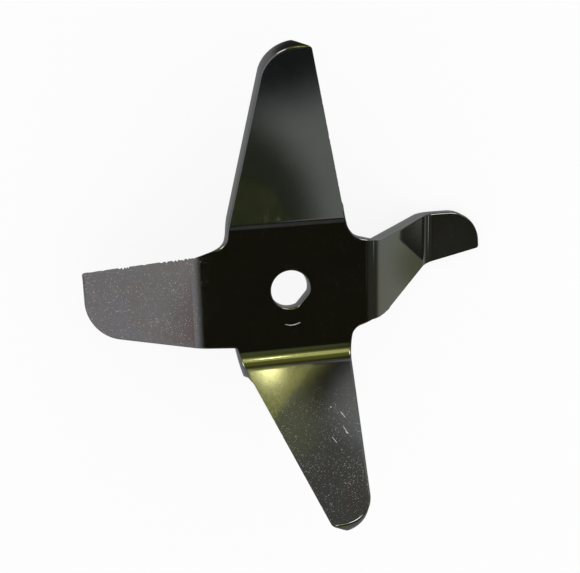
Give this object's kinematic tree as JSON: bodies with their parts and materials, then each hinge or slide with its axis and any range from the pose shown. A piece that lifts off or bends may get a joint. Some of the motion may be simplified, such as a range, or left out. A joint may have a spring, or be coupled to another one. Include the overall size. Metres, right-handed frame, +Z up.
{
  "type": "meat grinder knife",
  "caption": "Flat hub with a flatted spindle hole and sharpened wings folded to different heights, which chop meat as the knife spins.",
  "frame": {"origin": "centre of the spindle hole at the hub's underside", "axes": "+Z up along the spindle, out of the hub's upper face; +X along the wing that steps down and turns level, +Y along the long gently rising wing"},
  "size_m": [0.092, 0.0882, 0.0573],
  "materials": {
    "steel": "satin, lightly speckled"
  },
  "bodies": {
    "root": {"knife": "steel"}
  },
  "joints": []
}
